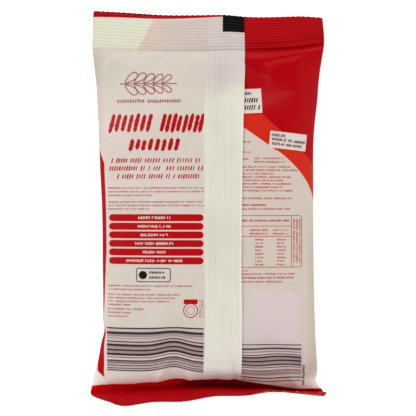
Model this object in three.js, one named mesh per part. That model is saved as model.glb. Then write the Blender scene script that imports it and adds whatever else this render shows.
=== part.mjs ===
// A printed plastic pillow bag of split lentils, lying on its front with its back up.
// Lengths are in millimetres. X runs across the bag, Y along it towards the top seal, Z up.
// The origin is under the middle of the bag, on the surface that it lies on.
// The bag is one tube of film: two crimped end seals, a filled pillow between them, and the
// back seam's fin folded flat on the back.

import * as THREE from 'three';

// The flat tube
const flatWidth = 131;
const halfFlat = flatWidth / 2;
const sealDepth = 21.6;
const sealThickness = 0.8;

// The filled pillow
const topRoot = 88.5;            // where the pillow ends along the bag, in its middle
const bottomRoot = -101;
const fillThickness = 29;
const topShoulder = 105;         // length over which the fill thins out to the top seal
const bottomShoulder = 62;       // the same at the bottom
const shoulderCurve = 2.8;
const shoulderFullness = 0.75;
const frontRise = 26;            // length over which the front leaves the surface below
const riseCurve = 1.3;
const sideDraw = 6.1;            // how far each side draws in where the bag is thickest
const sideDrawCurve = 1.4;
const equatorShare = 0.42;       // height of the rounded sides, as a share of the thickness
const frontFlatShare = 0.6;      // share of the front that lies flat
const sectionCurve = 2.5;        // power of the section's outline: 2 is round, more is boxy
const pointedPower = 1;          // the sides are pointed near a seal and round elsewhere
const roundPower = 0.5;
const roundFrom = 0.8;           // how full the bag is where its sides are fully round

// The crimped seals
const ribPitch = 1.55;
const ribHeight = 0.34;
const toothPitch = 3;
const toothDepth = 0.8;
const topSealHeight = 9;
const topSealDroop = 3;
const droopCurve = 1.5;
const bottomSealHeight = 7;
const bottomSealBend = 3;        // length over which the bottom seal bends up from the pillow
const bottomSealBulge = 1.2;     // how far that bend stands out
const curlCurve = 1.6;

// The back seam's fin
const finLeft = -1.5;
const finRight = 19;
const finStep = 0.9;
const finRoll = 1.4;             // width of the soft fold along its left edge
const finEdge = 0.15;            // width of the cut edge along its right edge

// Guides: values at places across the bag, joined by a smooth curve
const topRootY = [[-65.5, 90.1], [-38, 88.9], [-5, 88.4], [12, 89.2], [22, 89.8], [65.5, 92.2]];
const topEdgeWave = [[-65.5, -0.1], [-45, -0.1], [-25, -0.85], [5, -0.95], [24, -3.2], [50, -4.4], [65.5, -7]];
const topSealWave = [[-65.5, 0.9], [-35, -0.7], [0, 0.5], [35, -0.4], [65.5, 1.1]];
const bottomRootY = [
  [-65.5, -104], [-50, -102.4], [-20, -101.1], [0, -100.3], [18, -101], [34, -101.8], [50, -103.8], [65.5, -105.7]];
const bottomLean = [                                                      // degrees outwards
  [-65.5, 9], [-48, 18], [-30, 16], [-12, 17], [4, 9.5], [22, 6.5], [34, 0], [65.5, -9]];
const bottomCurl = [[-65.5, 12], [-52, 3], [-38, 0], [65.5, 0]];          // millimetres inwards

// The same at places along the bag: its middle line strays a little to the sides
const middleX = [
  [-101, -1.2], [-92, -1.1], [-80, -0.1], [-60, 0.4], [-30, 0], [10, -0.35], [45, -1.05], [70, -0.55], [88.5, 0]];

// Dents and folds: where they are, how far they reach, and how deep they are.
// A negative depth stands out.
const sideDents = [
  { side: -1, y: -67, reach: 5, depth: 1.2 },
  { side: 1, y: -92.6, reach: 3, depth: 1.6 },
];
const folds = [
  { skin: 'back', s: -17, y: -84, across: 7, along: 20, depth: 2.4 },
  { skin: 'back', s: -44, y: -88, across: 9, along: 12, depth: -1.2 },
  { skin: 'back', s: 34, y: -86, across: 8, along: 14, depth: 1.6 },
  { skin: 'back', s: -30, y: 72, across: 6, along: 18, depth: 1.3 },
  { skin: 'back', s: 30, y: 74, across: 7, along: 14, depth: 1.6 },
  { skin: 'back', s: 52, y: 66, across: 6, along: 20, depth: -1.1 },
  { skin: 'back', s: -52, y: 66, across: 6, along: 18, depth: 1.2 },
  { skin: 'front', s: -38, y: 78, across: 6, along: 12, depth: 1.3 },
  { skin: 'front', s: 8, y: 80, across: 8, along: 10, depth: 1 },
  { skin: 'front', s: 42, y: 77, across: 6, along: 12, depth: 1.2 },
  { skin: 'front', s: -30, y: -93, across: 7, along: 9, depth: 1.2 },
  { skin: 'front', s: 26, y: -92, across: 7, along: 10, depth: 1.3 },
];
const swell = { height: 0.5, across: 47, along: 58 };
const reliefEnd = 50;            // the relief fades out from here towards the rounded sides
const reliefFade = 14;
const dentStart = 38;            // a dent in a side starts here and grows to the edge
const waveStart = 0.86;          // the top seal's wave runs into the pillow from here, as a share

// Fineness
const bodyRows = 38;
const backColumns = 30;
const frontColumns = 22;
const sealColumns = 16;
const sectionSamples = 90;
const rowCrowding = 0.75;        // how far the rows crowd towards the seals: 0 is even
const clearOfFin = 1.5;          // no other column lies this close to an edge of the fin
const clearOfTeeth = 0.3;

const clamp01 = (x) => Math.min(1, Math.max(0, x));
const smooth = (x) => clamp01(x) ** 2 * (3 - 2 * clamp01(x));
const bell = (x) => Math.exp(-x * x);
const { lerp } = THREE.MathUtils;

// The value of a guide at a place across the bag, on a smooth cubic through its points
function along(guide, x) {
  const last = guide.length - 1;
  const slope = (n) => {
    const [a, b] = [guide[Math.max(0, n - 1)], guide[Math.min(last, n + 1)]];
    return (b[1] - a[1]) / (b[0] - a[0]);
  };
  const i = Math.min(last - 1, Math.max(0, guide.findIndex(([place]) => place >= x) - 1));
  const [[x0, v0], [x1, v1]] = [guide[i], guide[i + 1]];
  const span = x1 - x0;
  const t = clamp01((x - x0) / span);
  const bend = t * (1 - t) * span;
  return lerp(v0, v1, smooth(t)) + bend * ((1 - t) * slope(i) - t * slope(i + 1));
}

// How full the bag is at a distance from a seal: 0 at the seal, 1 past its shoulder
function shoulder(distance, length) {
  return (1 - (1 - clamp01(distance / length)) ** shoulderCurve) ** shoulderFullness;
}

// The step that the folded fin makes on the back
function finHeight(s) {
  const rising = smooth((s - finLeft + finRoll) / finRoll);
  const falling = 1 - clamp01((s - finRight) / finEdge);
  return finStep * rising * falling;
}

// The heights and the half width of the pillow at a place along it
function pillow(y) {
  const fromTop = topRoot - y;
  const fromBottom = y - bottomRoot;
  const fill = shoulder(fromTop, topShoulder) * shoulder(fromBottom, bottomShoulder);
  const thickness = sealThickness + (fillThickness - sealThickness) * fill;
  const lift = (sealHeight, distance) =>
    (sealHeight - sealThickness / 2) * (1 - smooth(distance / frontRise)) ** riseCurve;
  const base = lift(topSealHeight, fromTop) + lift(bottomSealHeight, fromBottom);
  return {
    fill,
    base,
    crown: base + thickness,
    equator: base + thickness * equatorShare,
    halfWidth: halfFlat - sideDraw * (thickness / fillThickness) ** sideDrawCurve,
  };
}

// Half of a section's outline, from the middle to the side, as points [x, height share]
function outline(skin, form) {
  const power = lerp(pointedPower, roundPower, smooth(form.fill / roundFrom));
  const flat = skin === 'front' ? frontFlatShare * smooth(form.fill) : 0;
  const points = [];
  for (let i = 0; i <= sectionSamples; i++) {
    const u = Math.sin((Math.PI / 2) * (i / sectionSamples));
    const past = clamp01((u - flat) / (1 - flat));
    points.push([u, clamp01(1 - past ** sectionCurve) ** power]);
  }
  return points;
}

// The point of a skin at s millimetres of film from the middle, on a straight row at y
function bodySection(skin, y) {
  const form = pillow(y);
  const half = sealThickness / 2;
  const reach = skin === 'back' ? form.crown - form.equator - half : form.equator - half - form.base;
  const side = skin === 'back' ? 1 : -1;
  const points = outline(skin, form).map(([u, share]) => [
    u * form.halfWidth, form.equator + side * (half + Math.max(0, reach) * share)]);
  const lengths = [0];
  for (let i = 1; i < points.length; i++) {
    const [dx, dz] = [points[i][0] - points[i - 1][0], points[i][1] - points[i - 1][1]];
    lengths.push(lengths[i - 1] + Math.hypot(dx, dz));
  }
  const total = lengths.at(-1);
  return (s) => {
    const wanted = Math.abs(s) / halfFlat * total;
    const next = Math.max(1, lengths.findIndex((length) => length >= wanted - 1e-9));
    const share = (wanted - lengths[next - 1]) / (lengths[next] - lengths[next - 1]);
    return {
      x: Math.sign(s) * lerp(points[next - 1][0], points[next][0], share),
      z: lerp(points[next - 1][1], points[next][1], share),
    };
  };
}

// How far folds and the slow swell of the back move a skin outwards
function relief(skin, s, y, fill) {
  const open = smooth(fill * 2) * (1 - smooth((Math.abs(s) - reliefEnd) / reliefFade));
  const slow = Math.sin(s / swell.across * Math.PI + 1) * Math.cos(y / swell.along * Math.PI);
  const pressed = folds.filter((fold) => fold.skin === skin).reduce((sum, fold) =>
    sum + fold.depth * bell((s - fold.s) / fold.across) * bell((y - fold.y) / fold.along), 0);
  return open * ((skin === 'back' ? swell.height * slow : 0) - pressed);
}

function bodyPoint(skin, section, s, y, t) {
  const { x, z } = section(s);
  const { fill, base } = pillow(y);
  const dent = sideDents.reduce((sum, { side, y: place, reach, depth }) =>
    sum - side * depth * bell((y - place) / reach) * smooth((side * s - dentStart) / (halfFlat - dentStart)), 0);
  const outwards = relief(skin, s, y, fill);
  const height = skin === 'back' ? z + outwards + finHeight(s) : Math.max(Math.min(z, base), z - outwards);
  const wave = along(topSealWave, s) * smooth((t - waveStart) / (1 - waveStart));
  const place = lerp(along(bottomRootY, s), along(topRootY, s), t);
  return new THREE.Vector3(x + dent + along(middleX, y), place, height + wave);
}

// How far a seal's skin lies from its middle, with the ribs that both of its skins share
function sealOffset(skin, s, r) {
  const rib = ribHeight / 2 * (1 - Math.cos(2 * Math.PI * r / ribPitch)) * smooth(r / ribPitch);
  return rib + (skin === 'back' ? sealThickness / 2 + finHeight(s) : -sealThickness / 2);
}

// A point of a seal, at a distance r from the pillow
function topSealPoint(skin, s, r) {
  const share = r / sealDepth;
  const y = along(topRootY, s) + r + along(topEdgeWave, s) * smooth(share);
  const z = topSealHeight + along(topSealWave, s) * (1 + share) - topSealDroop * share ** droopCurve;
  return new THREE.Vector3(s, y, z + sealOffset(skin, s, r));
}

function bottomSealPoint(skin, s, r) {
  const lean = THREE.MathUtils.degToRad(along(bottomLean, s));
  const share = r / sealDepth;
  const turn = smooth(r / bottomSealBend);
  const bulge = bottomSealBulge * turn * (1 - share);
  const normal = new THREE.Vector3(0, lerp(0, Math.cos(lean), turn), lerp(1, Math.sin(lean), turn)).normalize();
  return new THREE.Vector3(
    s + along(bottomCurl, s) * share ** curlCurve + along(middleX, bottomRoot) * (1 - share),
    along(bottomRootY, s) - Math.sin(lean) * r - bulge,
    bottomSealHeight + Math.cos(lean) * r,
  ).addScaledVector(normal, sealOffset(skin, s, r));
}

// Places across a skin: closer together at the rounded sides, with the fin's edges on the back
function columns(skin, count) {
  const places = Array.from({ length: count + 1 }, (_, i) => halfFlat * Math.sin((Math.PI / 2) * (2 * i / count - 1)));
  if (skin === 'front') return places;
  const fin = [finLeft - finRoll, finLeft, finRight, finRight + finEdge];
  const clear = places.filter((s) => fin.every((edge) => Math.abs(s - edge) > clearOfFin));
  return [...clear, ...fin].sort((a, b) => a - b);
}

// A ring runs over the back from left to right, and home along the front
function ring(point, backPlaces, frontPlaces) {
  const back = backPlaces.map((s) => ({ key: (s + halfFlat) / flatWidth, point: point('back', s) }));
  const front = frontPlaces.toReversed().map((s) => ({ key: 1 + (halfFlat - s) / flatWidth, point: point('front', s) }));
  return [...back, ...front];
}

function toothPlaces() {
  const count = 2 * Math.round(flatWidth / toothPitch);
  return Array.from({ length: count + 1 }, (_, i) => -halfFlat + flatWidth * i / count);
}

function toothRing(sealPoint) {
  const places = toothPlaces();
  const reach = new Map(places.map((s, i) => [s, sealDepth - (i % 2 ? toothDepth : 0)]));
  return ring((skin, s) => sealPoint(skin, s, reach.get(s)), places, places);
}

function sealRings(sealPoint) {
  const count = Math.floor((sealDepth - toothDepth - clearOfTeeth) / (ribPitch / 2));
  const rows = Array.from({ length: count }, (_, i) => (i + 1) * ribPitch / 2);
  return rows.map((r) => ring(
    (skin, s) => sealPoint(skin, s, r), columns('back', sealColumns), columns('front', sealColumns)));
}

function bodyRings() {
  const rings = [];
  for (let i = 0; i <= bodyRows; i++) {
    const even = i / bodyRows;
    const t = lerp(even, smooth(even), rowCrowding);
    const y = lerp(bottomRoot, topRoot, t);
    const sections = { back: bodySection('back', y), front: bodySection('front', y) };
    rings.push(ring(
      (skin, s) => bodyPoint(skin, sections[skin], s, y, t),
      columns('back', backColumns), columns('front', frontColumns)));
  }
  return rings;
}

// Joins neighbouring rings, which may have different numbers of points, with triangles
function skinBetween(lower, upper, offsets, triangles) {
  let [i, j] = [0, 0];
  const keyAt = (points, n) => (n < points.length ? points[n].key : points[0].key + 2);
  while (i < lower.length || j < upper.length) {
    const a = offsets.lower + i % lower.length;
    const b = offsets.upper + j % upper.length;
    if (j >= upper.length || (i < lower.length && keyAt(lower, i + 1) <= keyAt(upper, j + 1))) {
      triangles.push(a, offsets.lower + (i + 1) % lower.length, b);
      i++;
    } else {
      triangles.push(a, offsets.upper + (j + 1) % upper.length, b);
      j++;
    }
  }
}

// Closes the cut edge of a seal, between its back and its front
function cutEdge(count, offset, facesUp, triangles) {
  const half = count / 2;
  for (let i = 0; i < half - 1; i++) {
    const [a, b] = [offset + i, offset + i + 1];
    const [c, d] = [offset + count - 2 - i, offset + count - 1 - i];
    if (facesUp) triangles.push(a, b, c, a, c, d);
    else triangles.push(a, c, b, a, d, c);
  }
}

function bagGeometry() {
  const rings = [
    toothRing(bottomSealPoint),
    ...sealRings(bottomSealPoint).toReversed(),
    ...bodyRings(),
    ...sealRings(topSealPoint),
    toothRing(topSealPoint),
  ];
  const positions = rings.flat().flatMap(({ point }) => point.toArray());
  const triangles = [];
  let offset = 0;
  cutEdge(rings[0].length, 0, false, triangles);
  for (let n = 0; n < rings.length - 1; n++) {
    const next = offset + rings[n].length;
    skinBetween(rings[n], rings[n + 1], { lower: offset, upper: next }, triangles);
    offset = next;
  }
  cutEdge(rings.at(-1).length, offset, true, triangles);

  const geometry = new THREE.BufferGeometry();
  geometry.setAttribute('position', new THREE.Float32BufferAttribute(positions, 3));
  geometry.setIndex(triangles);
  geometry.computeVertexNormals();
  return geometry;
}

const film = new THREE.MeshStandardMaterial({ color: 0xd9cfc4, roughness: 0.38, metalness: 0 });
const bag = new THREE.Mesh(bagGeometry(), film);
bag.name = 'bag';
bag.geometry.computeBoundingBox();
const middle = bag.geometry.boundingBox.getCenter(new THREE.Vector3());
bag.position.set(-middle.x, -middle.y, 0);

const pack = new THREE.Group();
pack.add(bag);

export default pack;
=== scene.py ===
# A printed plastic pillow bag of split lentils, lying on its front with its back up.
# X runs across the bag, Y towards the top seal and Z up. Settings are in millimetres unless they
# say otherwise, and every mesh is in metres. The film's own map has u across it, 0 in the middle
# of the back and 65 at the right edge, and v along it.

import math

import bpy
import numpy as np
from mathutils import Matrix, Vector


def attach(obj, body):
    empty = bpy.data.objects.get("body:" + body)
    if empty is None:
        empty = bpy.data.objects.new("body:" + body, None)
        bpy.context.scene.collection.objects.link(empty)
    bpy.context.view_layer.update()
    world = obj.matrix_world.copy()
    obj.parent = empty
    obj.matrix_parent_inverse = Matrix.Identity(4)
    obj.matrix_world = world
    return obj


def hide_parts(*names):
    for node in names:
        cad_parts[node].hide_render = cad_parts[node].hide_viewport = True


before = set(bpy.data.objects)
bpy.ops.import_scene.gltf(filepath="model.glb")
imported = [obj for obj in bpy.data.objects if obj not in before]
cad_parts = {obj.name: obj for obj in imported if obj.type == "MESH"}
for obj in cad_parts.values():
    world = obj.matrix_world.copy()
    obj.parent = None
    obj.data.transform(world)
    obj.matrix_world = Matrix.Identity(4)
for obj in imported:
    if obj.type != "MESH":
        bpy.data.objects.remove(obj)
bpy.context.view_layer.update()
millimetre = 0.001
print("frame loaded")


# Camera, light and floor

stage = {
    "viewCentre": (0.48, -1.14),  # what the middle of the picture looks at
    "viewWidth": 233.0,           # what the picture spans at the height of the bag
    "cameraHeight": 1000.0,
    "cameraTarget": 18.0,
    "floorSize": 6000.0,
    "floorColour": "#f4f4f3",
    "floorGlow": 0.6,             # the table top is lit from below, which keeps it white
    "roomColour": "#f7f8fa",
    "wallStrength": 0.85,
    "ceilingStrength": 0.07,
    "ceilingFrom": (0.35, 0.95),  # how steeply upwards the wall begins and ends to give way to it
    "tableMirrored": 0.3,         # how bright the table is where the film mirrors it
    "tableTo": -0.25,             # how steeply downwards that begins in full
    # name, place, size, power in watts, whether the film mirrors it
    "lamps": [
        ("key_softbox", (-780.0, 700.0, 900.0), 950.0, 8.9, True),
        ("fill_softbox", (950.0, -150.0, 850.0), 1500.0, 6.5, False),
        ("low_softbox", (-150.0, -1000.0, 650.0), 1100.0, 4.6, False),
        ("rib_softbox", (120.0, 1100.0, 820.0), 520.0, 2.4, True),
    ],
}


def linear(hexColour):
    parts = [int(hexColour[i:i + 2], 16) / 255 for i in (1, 3, 5)]
    return [p / 12.92 if p <= 0.04045 else ((p + 0.055) / 1.055) ** 2.4 for p in parts] + [1.0]


# Adds a node with its settings. An input is a value, a socket, or a node for its first output.
def addNode(tree, kind, inputs=None, **settings):
    node = tree.nodes.new(kind)
    for name, value in settings.items():
        setattr(node, name, value)
    for name, value in (inputs or {}).items():
        if isinstance(value, bpy.types.Node):
            value = value.outputs[0]
        if isinstance(value, bpy.types.NodeSocket):
            tree.links.new(value, node.inputs[name])
        else:
            node.inputs[name].default_value = value
    return node


def newObject(name, data):
    obj = bpy.data.objects.new(name, data)
    bpy.context.scene.collection.objects.link(obj)
    return obj


def aimAt(obj, place, target):
    obj.location = place
    obj.rotation_euler = (target - place).to_track_quat("-Z", "Y").to_euler()


def makeStage():
    scene = bpy.context.scene
    scene.view_settings.view_transform = "Standard"
    scene.view_settings.look = "None"
    x, y = (value * millimetre for value in stage["viewCentre"])
    camera = newObject("camera", bpy.data.cameras.new("camera"))
    height = stage["cameraHeight"] * millimetre
    distance = height - stage["cameraTarget"] * millimetre
    camera.data.lens = camera.data.sensor_width * distance / (stage["viewWidth"] * millimetre)
    camera.location = (x, y, height)
    scene.camera = camera

    for name, place, size, power, mirrored in stage["lamps"]:
        light = bpy.data.lights.new(name, "AREA")
        light.shape = "DISK"
        light.size = size * millimetre
        light.energy = power
        lamp = newObject(name, light)
        aimAt(lamp, Vector(place) * millimetre, Vector((0, 0, 0)))
        lamp.visible_glossy = mirrored

    world = bpy.data.worlds.new("white_room")
    scene.world = world
    world.use_nodes = True
    room = world.node_tree
    background = room.nodes["Background"]
    background.inputs["Color"].default_value = linear(stage["roomColour"])
    direction = addNode(room, "ShaderNodeTexCoord").outputs["Generated"]
    rise = addNode(room, "ShaderNodeSeparateXYZ", {0: direction}).outputs["Z"]
    low, high = stage["ceilingFrom"]
    strength = addNode(room, "ShaderNodeMapRange", {
        "Value": rise, "From Min": low, "From Max": high,
        "To Min": stage["wallStrength"], "To Max": stage["ceilingStrength"]}, interpolation_type="SMOOTHSTEP")
    above = addNode(room, "ShaderNodeMapRange", {
        "Value": rise, "From Min": stage["tableTo"], "From Max": 0.0, "To Min": stage["tableMirrored"]})
    dimmed = addNode(room, "ShaderNodeMath", {0: strength, 1: above}, operation="MULTIPLY")
    room.links.new(dimmed.outputs[0], background.inputs["Strength"])

    half = stage["floorSize"] * millimetre / 2
    corners = [(x * half, y * half, 0) for x, y in ((-1, -1), (1, -1), (1, 1), (-1, 1))]
    mesh = bpy.data.meshes.new("floor")
    mesh.from_pydata(corners, [], [(0, 1, 2, 3)])
    floor = newObject("floor", mesh)
    # matt paper, which has no shine of its own and shows the eye nothing but soft shadows
    material = bpy.data.materials.new("matt_white_paper")
    material.use_nodes = True
    shader = material.node_tree.nodes["Principled BSDF"]
    white = linear(stage["floorColour"])
    for name, value in [("Base Color", white), ("Roughness", 0.9), ("Specular IOR Level", 0.2),
                        ("Emission Color", white), ("Emission Strength", stage["floorGlow"])]:
        shader.inputs[name].default_value = value
    mesh.materials.append(material)
    floor.visible_glossy = False


makeStage()
print("stage set")


# The form of the filled tube, from the same sizes as the solid

tube = {
    "halfFlat": 65.5,
    "sealDepth": 21.6,
    "sealThickness": 0.5,
    "topRoot": 88.5,             # where the pillow ends along the bag, in its middle
    "bottomRoot": -101.0,
    "fillThickness": 29.0,
    "topShoulder": 105.0,        # length over which the fill thins out to the top seal
    "bottomShoulder": 62.0,
    "shoulderCurve": 2.8,
    "shoulderFullness": 0.75,
    "frontRise": 26.0,           # length over which the front leaves the surface below
    "riseCurve": 1.3,
    "sideDraw": 6.1,             # how far each side draws in where the bag is thickest
    "sideDrawCurve": 1.4,
    "equatorShare": 0.42,        # height of the rounded sides, as a share of the thickness
    "frontFlatShare": 0.6,       # share of the front that lies flat
    "sectionCurve": 2.5,         # power of the section's outline: 2 is round, more is boxy
    "pointedPower": 1.0,         # the sides are pointed near a seal and round elsewhere
    "roundPower": 0.5,
    "roundFrom": 0.8,            # how full the bag is where its sides are fully round
    "toothPitch": 3.0,
    "toothDepth": {"top": 0.5, "bottom": 0.3},
    "toothShare": 0.06,          # share of a seal's depth over which the teeth take shape
    "ribStart": [(-65.5, 0.2), (65.5, 0.3)],   # where the top seal's ribs begin, from its root
    "strongRibs": 1.4,           # the ribs are this much higher beside the fin, near the root
    "strongRibStart": 18.0,
    "strongRibFade": 8.0,
    "strongRibDepth": 8.0,
    "calmRibs": 0.62,            # and this much of their height on the left
    "calmRibEnd": -20.0,
    "calmRibFade": 30.0,
    "topSealHeight": 9.0,
    "topSealDroop": 3.0,
    "droopCurve": 1.5,
    "bottomSealHeight": 7.0,
    "bottomSealBend": 3.0,
    "bottomSealBulge": 1.2,
    "curlCurve": 1.6,
    # values at places across the bag, joined by a smooth curve
    "topRootY": [(-65.5, 90.1), (-38, 88.9), (-5, 88.4), (12, 89.0), (22, 89.0), (45, 89.9),
                 (65.5, 92.2)],
    "topEdgeWave": [(-65.5, 0.1), (-45, 0.25), (-25, -0.5), (5, -0.75), (24, -2.15), (50, -3.1),
                    (65.5, -5.9)],
    "topDraw": [(-65.5, 0.6), (-50, 0.2), (50, 0), (65.5, -0.9)],   # sideways, at the toothed edge
    "topSealWave": [(-65.5, 0.9), (-35, -0.7), (0, 0.5), (35, -0.4), (65.5, 1.1)],
    "bottomRootY": [(-65.5, -104), (-50, -102.4), (-20, -101.1), (0, -100.3), (18, -101), (34, -101.8),
                    (50, -103.8), (65.5, -105.7)],
    # degrees outwards, and how far its upper corner curls in
    "bottomLean": [(-65.5, 10), (-48, 21.3), (-30, 17.2), (-12, 18.2), (4, 11.2), (22, 7.5), (34, 0.5),
                   (65.5, -8.5)],
    "bottomCurl": [(-65.5, 12), (-52, 3), (-38, 0), (65.5, 0)],
    # the same at places along the bag: its middle line strays a little to the sides
    "middleX": [(-101, -1.2), (-92, -1.1), (-80, -0.1), (-60, 0.4), (-30, 0), (10, -0.35), (45, -1.05),
                (70, -0.55), (88.5, 0)],
    "acrossShift": 0.58,         # these two move the whole bag so that its box is centred
    "alongShift": -1.139,
    # side, y, reach, depth of the dents in the sides; a negative depth stands out
    "sideDents": [(-1, -67, 5, 1.2), (1, -92.6, 3, 1.6), (1, 57, 13, -0.75), (-1, 20, 17, -0.5),
                  (1, -100, 3.6, -1.3)],
    "dentStart": 38.0,
    "swell": (0.5, 47.0, 58.0),  # height of the back's slow waves, and half waves across and along
    "swellPhase": 1.0,
    "swellEnd": 50.0,            # they fade towards the sides from here
    "swellFade": 14.0,
    "waveStart": 0.86,           # share of the length where the top seal's wave begins
    "foldSideFade": 9.0,         # the folds fade out this near to a side, and to a seal
    "foldSealFade": 4.0,
    # fineness
    "columns": 130,
    "bodyRows": 208,
    "sealRows": 83,
    "rowCrowding": 0.4,          # how much closer the rows are beside the seals
    "outlineSteps": 181,
}

# Folds in the film: skin, u, y, direction in degrees, half width, half length, height.
# The direction is that of the fold's line, 0 across the bag; a negative height is a valley.
folds = [
    # the broad ones beside the seals
    ("back", -17, -84, 90, 7, 20, -2.4), ("back", -44, -88, 90, 9, 12, 1.2),
    ("back", 34, -86, 90, 8, 14, -1.6), ("back", -30, 72, 90, 6, 18, -1.3),
    ("back", 30, 74, 90, 7, 14, -1.6), ("back", 52, 66, 90, 7, 20, 0.6), ("back", -52, 66, 90, 6, 18, -1.2),
    ("front", -38, 78, 90, 6, 12, -1.3), ("front", 8, 80, 90, 8, 10, -1.0),
    ("front", 42, 77, 90, 6, 12, -1.2), ("front", -30, -93, 90, 7, 9, -1.2),
    ("front", 26, -92, 90, 7, 10, -1.3),
    # the crisper creases that run from the top seal into the back
    ("back", 25, 79, -36, 2.4, 9, -1.3), ("back", 31, 82, -28, 4.2, 11, 0.5),
    ("back", 22, 72, -30, 3.4, 6, 0.6), ("back", 44, 85, 6, 1.2, 15, 0.6),
    ("back", 40, 83, 8, 2.0, 16, -0.35), ("back", -60, 82, 60, 1.5, 7, -0.7),
    ("back", -57, 79, 50, 1.4, 6, 0.5), ("back", -24, 84, 12, 2.6, 8, -0.6),
    ("back", 10, 80, -8, 2.2, 9, 0.4), ("back", -45, 62, 75, 2.4, 10, 0.35),
    # and those that run up from the bottom seal
    ("back", -24, -90, 62, 1.8, 10, 0.8), ("back", -12, -92, 118, 1.8, 9, 0.7),
    ("back", -56, -84, 70, 1.5, 9, 0.8), ("back", 48, -90, 110, 1.8, 9, 0.7),
    ("back", 58, -92, 55, 1.5, 6, -0.8), ("back", 16, -93, 96, 2.0, 7, -0.7),
    ("back", 12, -97, 0, 3.4, 15, -0.8),
]
# the same on the top seal, where both skins fold together
sealFolds = [
    ("seal", 44, 88.4, 1, 0.8, 22, -0.75), ("seal", 44, 90.3, 1, 0.7, 21, 0.45),
    ("seal", 36, 93.4, -2, 0.6, 12, 0.2),
]
pleats = {
    "seed": 7,
    "count": 34,
    "spread": 62,                # they start anywhere this far to each side
    "inset": (-1, 3),            # and this far in from the seal's root
    "halfWidth": (0.9, 2.2),
    "halfLength": (3.5, 9.0),
    "height": (0.06, 0.24),
    "turn": 16,                  # how much they stray from straight, in degrees
}


def smooth(value):
    value = np.clip(value, 0, 1)
    return value * value * (3 - 2 * value)


def blend(low, high, share):
    return low + (high - low) * share


# The value of a guide at places across the bag, on a smooth cubic through its points
def along(guide, place):
    places, values = np.array(guide, float).T
    last = len(places) - 1
    before, after = np.maximum(np.arange(last + 1) - 1, 0), np.minimum(np.arange(last + 1) + 1, last)
    slopes = (values[after] - values[before]) / (places[after] - places[before])
    i = np.clip(np.searchsorted(places, place) - 1, 0, last - 1)
    span = places[i + 1] - places[i]
    t = np.clip((place - places[i]) / span, 0, 1)
    bend = t * (1 - t) * span
    return blend(values[i], values[i + 1], smooth(t)) + bend * ((1 - t) * slopes[i] - t * slopes[i + 1])


# How full the bag is at a distance from one of its seals
def shoulder(distance, length):
    opened = 1 - (1 - np.clip(distance / length, 0, 1)) ** tube["shoulderCurve"]
    return opened ** tube["shoulderFullness"]


# Heights and half width of the pillow's section at a place along it
def pillow(y):
    fromTop, fromBottom = tube["topRoot"] - y, y - tube["bottomRoot"]
    fill = shoulder(fromTop, tube["topShoulder"]) * shoulder(fromBottom, tube["bottomShoulder"])
    thickness = blend(tube["sealThickness"], tube["fillThickness"], fill)

    def lift(height, distance):
        left = 1 - smooth(distance / tube["frontRise"])
        return (height - tube["sealThickness"] / 2) * left ** tube["riseCurve"]

    base = lift(tube["topSealHeight"], fromTop) + lift(tube["bottomSealHeight"], fromBottom)
    drawnIn = tube["sideDraw"] * (thickness / tube["fillThickness"]) ** tube["sideDrawCurve"]
    return {
        "fill": fill, "base": base, "crown": base + thickness,
        "equator": base + thickness * tube["equatorShare"],
        "halfWidth": tube["halfFlat"] - drawnIn,
    }


# Points of one skin on a straight row of the pillow, at u millimetres of film from the middle.
# The outline is drawn first and then measured, because film bends but doesn't stretch.
def sectionRow(skin, y, u):
    form = pillow(y)
    half = tube["sealThickness"] / 2
    isBack = skin == "back"
    reach = form["crown"] - form["equator"] - half if isBack else form["equator"] - half - form["base"]
    power = blend(tube["pointedPower"], tube["roundPower"], smooth(form["fill"] / tube["roundFrom"]))
    flat = 0 if isBack else tube["frontFlatShare"] * smooth(form["fill"])
    share = np.sin(np.linspace(0, math.pi / 2, tube["outlineSteps"]))
    past = np.clip((share - flat) / (1 - flat), 0, 1)
    height = np.clip(1 - past ** tube["sectionCurve"], 0, 1) ** power
    x = share * form["halfWidth"]
    z = form["equator"] + (1 if isBack else -1) * (half + max(0, reach) * height)
    lengths = np.concatenate([[0], np.cumsum(np.hypot(np.diff(x), np.diff(z)))])
    wanted = np.abs(u) / tube["halfFlat"] * lengths[-1]
    return np.sign(u) * np.interp(wanted, lengths, x), np.interp(wanted, lengths, z)


# How far the sides stand in or out along the bag
def sideShift(u, y):
    shift = 0
    for side, place, reach, depth in tube["sideDents"]:
        towards = smooth((side * u - tube["dentStart"]) / (tube["halfFlat"] - tube["dentStart"]))
        shift = shift - side * depth * np.exp(-((y - place) / reach) ** 2) * towards
    return shift


def bodySkin(skin, t, u):
    y = blend(tube["bottomRoot"], tube["topRoot"], t)
    rows = [sectionRow(skin, place, u) for place in y]
    x, z = (np.array([row[i] for row in rows]) for i in (0, 1))
    fill = np.array([pillow(place)["fill"] for place in y])[:, None]
    x = x + sideShift(u, y[:, None])
    opened = smooth(fill * 2) * (1 - smooth((np.abs(u) - tube["swellEnd"]) / tube["swellFade"]))
    height, across, lengthways = tube["swell"]
    if skin == "back":
        waves = height * np.sin(u / across * np.pi + tube["swellPhase"])
        z = z + opened * (waves * np.cos(y[:, None] / lengthways * np.pi))
    wave = along(tube["topSealWave"], u) * smooth((t[:, None] - tube["waveStart"]) / (1 - tube["waveStart"]))
    places = blend(along(tube["bottomRootY"], u), along(tube["topRootY"], u), t[:, None])
    x = x + along(tube["middleX"], y)[:, None]
    return np.stack([x, places, z + wave], axis=-1), y


# How far each point of a seal is from its root: only the last rows follow the toothed edge
def sealReach(share, u, toothDepth):
    share = share[:, None]
    fromEdge = (1 - share) / tube["toothShare"]
    return share * tube["sealDepth"] - toothDepth * toothShape(u) * smooth(1 - fromEdge)


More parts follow.
